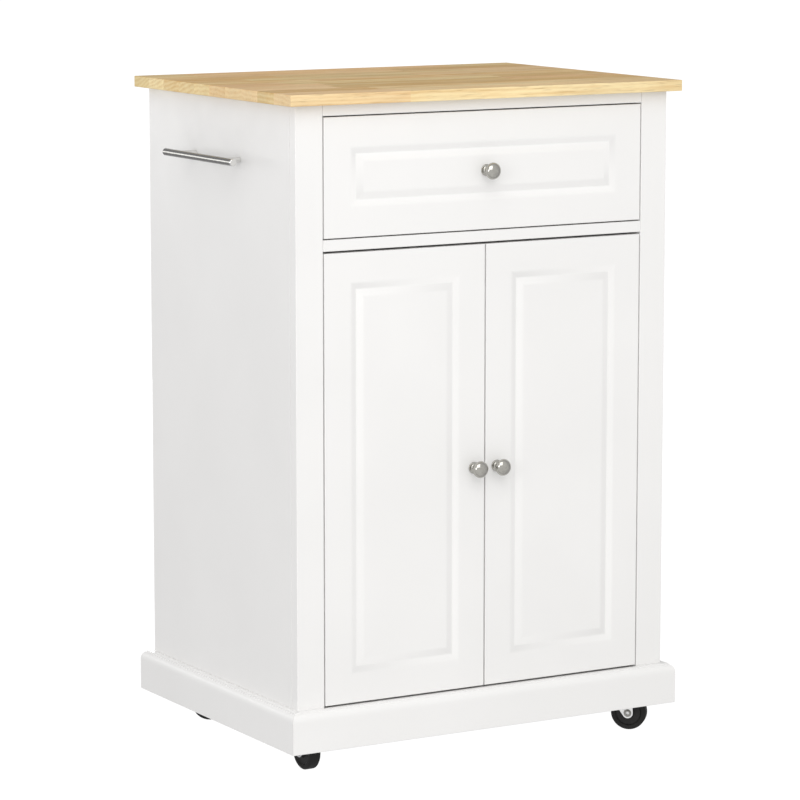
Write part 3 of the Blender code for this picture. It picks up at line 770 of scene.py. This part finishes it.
def make_drawer():
    """The drawer's front, and the screws of its knob, its box and its runners."""
    mesh = front_mesh("drawer_front")
    show("drawer_front_panel", mesh, "drawer", PAINT, ("drawer_front",))
    knob = centre_of("drawer_knob")
    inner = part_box("drawer_front")[1].y
    place = [(knob.x, inner, knob.z)]
    show_screws("drawer_knob_screw", PAN_SCREW, place, (0.0, 1.0, 0.0), "drawer")
    for side, sign in SIDES.items():
        low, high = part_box(f"drawer_side_{side}")
        outer = high.x if sign > 0.0 else low.x
        places = []
        for y in (low.y + BOX_SCREW_FRONT, high.y - BOX_SCREW_BACK):
            for z in (low.z + BOX_SCREW_LOW, high.z - BOX_SCREW_TOP):
                places.append((outer, y, z))
        direction = (sign, 0.0, 0.0)
        show_screws(f"drawer_box_screws_{side}", SMALL_SCREW, places, direction, "drawer")

        make_runner_screws(f"drawer_runner_{side}", sign, (0.12, 0.50, 0.88), "drawer")
        make_runner_screws(f"runner_{side}", -sign, (0.10, 0.46, 0.90), "cabinet")


def make_runner_screws(node, outward, shares, body):
    """Screws through a runner's web, at shares of its length; its open side faces outward."""
    low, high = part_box(node)
    web = low.x + RUNNER_SHEET if outward > 0.0 else high.x - RUNNER_SHEET
    middle = (low.z + high.z) / 2.0
    places = [(web, low.y + share * (high.y - low.y), middle) for share in shares]
    show_screws(f"{node}_screws", PAN_SCREW, places, (outward, 0.0, 0.0), body)


# ---------------------------------------------------------------- towel bar


def make_towel_bar():
    """A round bar in darker steel as painted shade, with a cap on its front end and two turned posts in lighter
    steel as painted light.
    """
    low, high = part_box("towel_bar")
    middle = centre_of("towel_bar")
    radius = (high.z - low.z) / 2.0
    half = (high.y - low.y) / 2.0
    inner = half - BAR_CAP
    along = facing((0.0, 1.0, 0.0), middle)
    shape = bmesh.new()
    rod = [(0.0, -inner, 0.0), (radius, -inner, 0.0), (radius, half, BAR_EASE), (0.0, half, 0.0)]
    add_turned(shape, filleted(rod), along, steps=48)
    show("towel_bar_rod", shape, "cabinet", SHADED_STEEL, ("towel_bar",))

    shape = bmesh.new()
    start = -inner - BAR_JOINT
    cap = [(0.0, start, 0.0), (radius, start, 0.0), (radius, -half, BAR_EASE), (0.0, -half, 0.0)]
    add_turned(shape, filleted(cap), along, steps=48)
    # The cap is in the lighter steel: a painted highlight on the bar's end
    show("towel_bar_cap", shape, "cabinet", LIT_STEEL)

    for end in ("front", "rear"):
        node = f"towel_post_{end}"
        low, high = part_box(node)
        centre = centre_of(node)
        post_r = (high.z - low.z) / 2.0
        wall = high.x
        reach = wall - (middle.x + radius * 0.8)
        profile = filleted(
            [
                (0.0, 0.0, 0.0),
                (post_r, 0.0, 0.0003),
                (post_r, reach - 0.0030, 0.0),
                (post_r * 0.88, reach - 0.0012, 0.0008),
                (post_r * 0.88, reach, 0.0),
                (0.0, reach, 0.0),
            ],
            steps=4,
        )
        shape = bmesh.new()
        matrix = facing((-1.0, 0.0, 0.0), (wall, centre.y, centre.z))
        add_turned(shape, profile, matrix, steps=40)
        show(f"{node}_turned", shape, "cabinet", LIT_STEEL, (node,))


# ---------------------------------------------------------------- casters


def joint_place(name):
    """Where a joint of the frame is."""
    found = next(joint for joint in frame["joints"] if joint["name"] == name)
    return Vector(found["pos_m"])


def fork_mesh(height, trail):
    """Legs and crown bent from one sheet: x from the swivel axis to the axle, z from the floor.
    The axle's centre is at x = trail, z = height."""
    top = FORK_TOP
    outline = [Vector((0.0245, 0.0560)), Vector((0.0232, top - 0.0030)), Vector((0.0205, top))]
    outline += [Vector((-0.0100, top)), Vector((-0.0128, top - 0.0028)), Vector((-0.0145, 0.0570))]
    for step in range(25):
        angle = math.radians(215.0 + 145.0 * step / 24.0)
        x = trail + FORK_END_R * math.cos(angle)
        outline.append(Vector((x, height + FORK_END_R * math.sin(angle))))
    upright = Matrix.Rotation(math.radians(90.0), 4, "X")
    block = bmesh.new()
    add_prism(block, outline, -FORK_HALF_WIDTH, FORK_HALF_WIDTH, upright, ease=0.0012)
    slot = bmesh.new()
    inner = FORK_HALF_WIDTH - SHEET
    add_box(slot, (-0.030, -inner, -0.010), (0.045, inner, top - SHEET), ease=0.0012, segments=3)
    return combined("fork", as_mesh("block", block), as_mesh("slot", slot), "DIFFERENCE")


def make_caster(corner):
    """One caster: the fork and its rivet on the swivel, the wheel, and the mounting plate."""
    swivel = joint_place(f"caster_{corner}_turn")
    axle = joint_place(f"caster_{corner}_roll")
    away = Vector((axle.x - swivel.x, axle.y - swivel.y, 0.0))
    trail = away.length
    turn = Matrix.Translation((swivel.x, swivel.y, 0.0)) @ Matrix.Rotation(
        math.atan2(away.y, away.x), 4, "Z"
    )

    # Fork, with its boss
    shape = bmesh.new()
    add_mesh(shape, fork_mesh(axle.z, trail), turn)
    crown = filleted(
        [
            (0.0, FORK_TOP - 0.0005, 0.0),
            (0.0165, FORK_TOP - 0.0005, 0.0),
            (0.0150, FORK_TOP + 0.0018, 0.0008),
            (0.0135, FORK_TOP + 0.0022, 0.0008),
            (0.0128, FORK_TOP + 0.0044, 0.0008),
            (0.0, FORK_TOP + 0.0044, 0.0),
        ],
        steps=4,
    )
    add_turned(shape, crown, turn, steps=56)
    name = f"caster_{corner}_fork"
    body = f"caster_{corner}_swivel"
    show(f"{name}_pressed", shape, body, ZINC, (name,))

    # Hollow rivet through both legs, with a collar and a rolled end on each side
    shape = bmesh.new()
    for sign in (-1.0, 1.0):
        matrix = turn @ facing((0.0, sign, 0.0), (trail, sign * FORK_HALF_WIDTH, axle.z))
        head = filleted(
            [
                (0.0, -0.0012, 0.0),
                (0.0056, -0.0012, 0.0),
                (0.0056, 0.0004, 0.0003),
                (0.0044, 0.0004, 0.0),
                (0.0042, 0.0021, 0.0009),
                (0.0024, 0.0021, 0.0003),
                (0.0021, -0.0006, 0.0),
                (0.0, -0.0006, 0.0),
            ],
            steps=4,
        )
        add_turned(shape, head, matrix, steps=40)
    reach = FORK_HALF_WIDTH * 0.94
    core = [(0.0, -reach), (0.0029, -reach), (0.0029, reach), (0.0, reach)]
    add_turned(shape, core, turn @ facing((0.0, 1.0, 0.0), (trail, 0.0, axle.z)), steps=24)
    show(f"caster_{corner}_rivet", shape, body, SHADED_STEEL)

    # Wheel: a hub with a recessed web, and the tyre round it
    matrix = turn @ facing((0.0, 1.0, 0.0), (trail, 0.0, axle.z))
    hub_half = FORK_HALF_WIDTH - SHEET - HUB_CLEARANCE
    radius = axle.z
    half = [
        (0.0034, hub_half, 0.0),
        (0.0076, hub_half, 0.0006),
        (0.0086, 0.0062, 0.0012),
        (0.0170, 0.0062, 0.0012),
        (0.0186, 0.0080, 0.0),
    ]
    mirrored = [(x, -y, r) for x, y, r in reversed(half)]
    shape = bmesh.new()
    add_turned(shape, filleted(half + mirrored, steps=4), matrix, steps=72, closed=True)
    body = f"caster_{corner}_roller"
    node = f"caster_{corner}_wheel"
    show(f"{node}_hub", shape, body, PLASTIC)
    half = [
        (0.0184, 0.0079, 0.0),
        (0.0188, 0.0083, 0.0003),
        (0.0226, 0.0083, 0.0012),
        (radius, 0.0062, 0.0020),
    ]
    mirrored = [(x, -y, r) for x, y, r in reversed(half)]
    shape = bmesh.new()
    add_turned(shape, filleted(half + mirrored, steps=6), matrix, steps=96, closed=True)
    show(f"{node}_tyre", shape, body, RUBBER, (node,))

    # Mounting plate with its pressed race, and the screws that hold it
    plate_low, plate_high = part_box(f"caster_{corner}_plate")
    half_plate = (plate_high.x - plate_low.x) / 2.0
    face = plate_high.z - SHEET
    shape = bmesh.new()
    square = [(-half_plate, -half_plate), (half_plate, -half_plate)]
    square += [(half_plate, half_plate), (-half_plate, half_plate)]
    outline = filleted([(x, y, PLATE_CORNER_R) for x, y in square], steps=6)
    centre = Matrix.Translation((swivel.x, swivel.y, 0.0))
    add_prism(shape, outline, face, plate_high.z, centre, ease=0.0004)
    drop = plate_high.z - plate_low.z
    race = filleted(
        [
            (0.0, face + 0.0005, 0.0),
            (0.0185, face + 0.0005, 0.0),
            (0.0170, face - 0.0015, 0.0010),
            (0.0170, face - (drop - SHEET) * 0.55, 0.0010),
            (0.0148, face - (drop - SHEET), 0.0012),
            (0.0, face - (drop - SHEET), 0.0),
        ],
        steps=4,
    )
    add_turned(shape, race, centre, steps=56)
    name = f"caster_{corner}_plate"
    show(f"{name}_pressed", shape, "cabinet", ZINC, (name,))
    reach = half_plate - PLATE_CORNER_R
    places = [
        (swivel.x + x * reach, swivel.y + y * reach, face) for x in (-1.0, 1.0) for y in (-1.0, 1.0)
    ]
    show_screws(f"{name}_screws", PAN_SCREW, places, (0.0, 0.0, -1.0), "cabinet")


# ---------------------------------------------------------------- cabinet


def ease_node(node, width):
    """Closes a CAD mesh's split edges and eases them, as modifiers on the CAD object."""
    weld = node.modifiers.new("closed", "WELD")
    weld.merge_threshold = 0.00001
    bevel = node.modifiers.new("eased edges", "BEVEL")
    bevel.width = width
    bevel.segments = 3
    bevel.limit_method = "ANGLE"
    bevel.angle_limit = math.radians(50.0)
    bevel.harden_normals = True


def finish_nodes():
    """Finishes and eased edges for the CAD nodes that are still shown."""
    finishes = {
        "white_paint": (PAINT, 0.0004),
        "white_board": (BOARD, 0.0003),
        "zinc_plate": (ZINC, 0.0002),
    }
    slots = {part["node"]: part["material_slot"] for part in frame["record"]["subparts"]}
    for name, node in frame["nodes"].items():
        if node.hide_render:
            continue
        finish, width = finishes[slots[name]]
        for slot in node.material_slots:
            slot.material = finish
        ease_node(node, width)


def make_pin_holes():
    """Two columns of shelf-pin holes in each side panel, cut by a modifier."""
    for side, sign in SIDES.items():
        low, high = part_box(f"side_panel_{side}")
        inner = high.x if sign < 0.0 else low.x
        cutter = bmesh.new()
        for end in ("front", "back"):
            pin = centre_of(f"shelf_pin_{end}_{side}")
            for step in range(-PIN_HOLES_EACH_WAY, PIN_HOLES_EACH_WAY + 1):
                place = (inner + sign * PIN_HOLE_DEPTH, pin.y, pin.z + step * PIN_HOLE_PITCH)
                reach = PIN_HOLE_DEPTH + 0.001
                profile = [(0.0, 0.0), (PIN_HOLE_R, 0.0), (PIN_HOLE_R, reach), (0.0, reach)]
                add_turned(cutter, profile, facing((-sign, 0.0, 0.0), place), steps=20)
        tool = hidden(f"pin_holes_{side}", as_mesh("pin_holes", cutter))
        panel = frame["nodes"][f"side_panel_{side}"]
        cut = panel.modifiers.new("shelf-pin holes", "BOOLEAN")
        cut.operation = "DIFFERENCE"
        cut.solver = "EXACT"
        cut.object = tool


def make_back_screws():
    """Screws round the back panel: seven up each side, three along the top and the bottom."""
    low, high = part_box("back_panel")
    places = []
    pitch = (high.z - low.z - 2.0 * BACK_SCREW_END) / 6.0
    for index in range(7):
        z = low.z + BACK_SCREW_END + index * pitch
        places += [(low.x + BACK_SCREW_IN, high.y, z), (high.x - BACK_SCREW_IN, high.y, z)]
    for index in range(1, 4):
        x = low.x + index * (high.x - low.x) / 4.0
        places += [(x, high.y, low.z + BACK_SCREW_IN), (x, high.y, high.z - BACK_SCREW_IN)]
    show_screws("back_panel_screws", SMALL_SCREW, places, (0.0, 1.0, 0.0), "cabinet")


def make_hinge_details():
    """Screws on the hinge arms and cups, and the pins and links in the cups."""
    for side, sign in SIDES.items():
        for level in LEVELS:
            low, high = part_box(f"hinge_arm_{side}_{level}")
            wall = high.x if sign > 0.0 else low.x
            inward = -sign
            middle = (low.z + high.z) / 2.0
            face = wall + inward * HINGE_PLATE
            plate_z = HINGE_PLATE_SCREW_Z
            places = [(face, low.y + HINGE_PLATE_SCREW_Y, middle + z) for z in (-plate_z, plate_z)]
            name = f"hinge_plate_screws_{side}_{level}"
            show_screws(name, PAN_SCREW, places, (inward, 0.0, 0.0), "cabinet")
            arm_face = wall + inward * HINGE_ARM_PROUD
            places = [(arm_face, low.y + y, middle) for y in HINGE_ARM_SCREW_YS]
            name = f"hinge_arm_screws_{side}_{level}"
            show_screws(name, PAN_SCREW, places, (inward, 0.0, 0.0), "cabinet")

            cup = centre_of(f"hinge_cup_{side}_{level}")
            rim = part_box(f"hinge_cup_{side}_{level}")[1].y
            cup_z = HINGE_CUP_SCREW_Z
            places = [(cup.x, rim, cup.z + z) for z in (-cup_z, cup_z)]
            name = f"hinge_cup_screws_{side}_{level}"
            show_screws(name, SMALL_SCREW, places, (0.0, 1.0, 0.0), f"door_{side}")
            links = bmesh.new()
            for x in (-HINGE_PIN_X, HINGE_PIN_X):
                place = (cup.x + x, rim - 0.0050, cup.z)
                half = HINGE_PIN_HALF
                pin = [(0.0, -half), (HINGE_PIN_R, -half), (HINGE_PIN_R, half), (0.0, half)]
                add_turned(links, pin, Matrix.Translation(place), steps=20)
            for z in (-HINGE_LINK_Z, HINGE_LINK_Z):
                add_box(
                    links,
                    (cup.x - 0.0070, rim - 0.0072, cup.z + z - HINGE_LINK_HALF),
                    (cup.x + 0.0070, rim - 0.0022, cup.z + z + HINGE_LINK_HALF),
                    ease=0.0006,
                )
            show(f"hinge_links_{side}_{level}", links, f"door_{side}", ZINC)


def make_cam_locks():
    """Cam fittings in the rear stretcher and under the bottom panel."""
    low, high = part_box("rear_stretcher")
    middle = (low.z + high.z) / 2.0
    places = [(x, low.y, middle) for x in (low.x + CAM_FROM_SIDE, high.x - CAM_FROM_SIDE)]
    show_screws("stretcher_cams", CAM_LOCK, places, (0.0, -1.0, 0.0), "cabinet")
    low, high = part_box("bottom_panel")
    places = []
    for x in (low.x + CAM_FROM_SIDE, high.x - CAM_FROM_SIDE):
        for y in (low.y + CAM_FROM_FRONT, high.y - CAM_FROM_FRONT):
            places.append((x, y, low.z))
    show_screws("bottom_panel_cams", CAM_LOCK, places, (0.0, 0.0, -1.0), "cabinet")


# ---------------------------------------------------------------- stage


def make_stage():
    """A wide pale floor that glows evenly, and neither lights nor shades the cart."""
    shape = bmesh.new()
    bmesh.ops.create_circle(shape, cap_ends=True, segments=96, radius=FLOOR_RADIUS)
    mesh = as_mesh("studio_floor", shape)
    pale = Finish("studio_floor", Roughness=0.9)
    pale.shader.inputs["Specular IOR Level"].default_value = 0.0
    pale.shader.inputs["Emission Color"].default_value = rgb(1.0, 1.0, 1.0)
    pale.shader.inputs["Emission Strength"].default_value = FLOOR_GLOW
    tint = pale.spread(pale.noise(0.6), 0.3, 0.7, 0.10, 0.12)
    pale.feed("Base Color", pale.node("CombineColor", Red=tint, Green=tint, Blue=tint))
    mesh.materials.append(pale.material)
    floor = bpy.data.objects.new("studio_floor", mesh)
    bpy.context.scene.collection.objects.link(floor)
    floor.visible_diffuse = False
    floor.visible_glossy = False
    floor.visible_shadow = False


def add_softbox(name, azimuth, elevation, distance, size, power):
    """A square soft light; azimuth 0 is in front of the cart, and positive is to the right."""
    azimuth, elevation = math.radians(azimuth), math.radians(elevation)
    outward = Vector(
        (
            math.sin(azimuth) * math.cos(elevation),
            -math.cos(azimuth) * math.cos(elevation),
            math.sin(elevation),
        )
    )
    light = bpy.data.lights.new(name, "AREA")
    light.shape = "SQUARE"
    light.size = size
    light.energy = power
    lamp = bpy.data.objects.new(name, light)
    lamp.matrix_world = facing(outward, LIT_PLACE + outward * distance)
    bpy.context.scene.collection.objects.link(lamp)


def make_world():
    """A pale room, brighter towards the front left and dimmer behind and overhead."""
    world = bpy.data.worlds.new("studio")
    bpy.context.scene.world = world
    world.use_nodes = True
    tree = world.node_tree
    direction = tree.nodes.new("ShaderNodeTexCoord").outputs["Generated"]
    lobe = tree.nodes.new("ShaderNodeVectorMath")
    lobe.operation = "DOT_PRODUCT"
    tree.links.new(direction, lobe.inputs[0])
    lobe.inputs[1].default_value = ROOM_BRIGHT_WAY
    level = tree.nodes.new("ShaderNodeMapRange")
    level.interpolation_type = "SMOOTHERSTEP"
    tree.links.new(lobe.outputs["Value"], level.inputs["Value"])
    level.inputs["From Min"].default_value = -1.0
    level.inputs["From Max"].default_value = 1.0
    tone = tree.nodes.new("ShaderNodeMix")
    tone.data_type = "RGBA"
    tree.links.new(level.outputs["Result"], tone.inputs[0])
    tone.inputs[6].default_value = ROOM_DIM
    tone.inputs[7].default_value = ROOM_BRIGHT
    tree.links.new(tone.outputs[2], tree.nodes["Background"].inputs["Color"])


def make_lights():
    make_world()
    for row in SOFTBOXES:
        add_softbox(*row)
    bpy.context.scene.view_settings.view_transform = "Standard"


def make_camera():
    data = bpy.data.cameras.new("camera")
    data.sensor_width = SENSOR_WIDTH
    data.lens = CAMERA_LENS
    data.clip_end = 200.0
    camera = bpy.data.objects.new("camera", data)
    camera.location = CAMERA_PLACE
    camera.rotation_euler = (math.radians(90.0 - CAMERA_DOWN), 0.0, math.radians(CAMERA_TURN))
    bpy.context.scene.collection.objects.link(camera)
    bpy.context.scene.camera = camera


make_worktop()
make_doors()
make_knobs()
make_plinth()
make_drawer()
make_towel_bar()
for corner in CORNERS:
    make_caster(corner)
make_hinge_details()
make_back_screws()
make_cam_locks()
finish_nodes()
make_pin_holes()
make_stage()
make_lights()
make_camera()
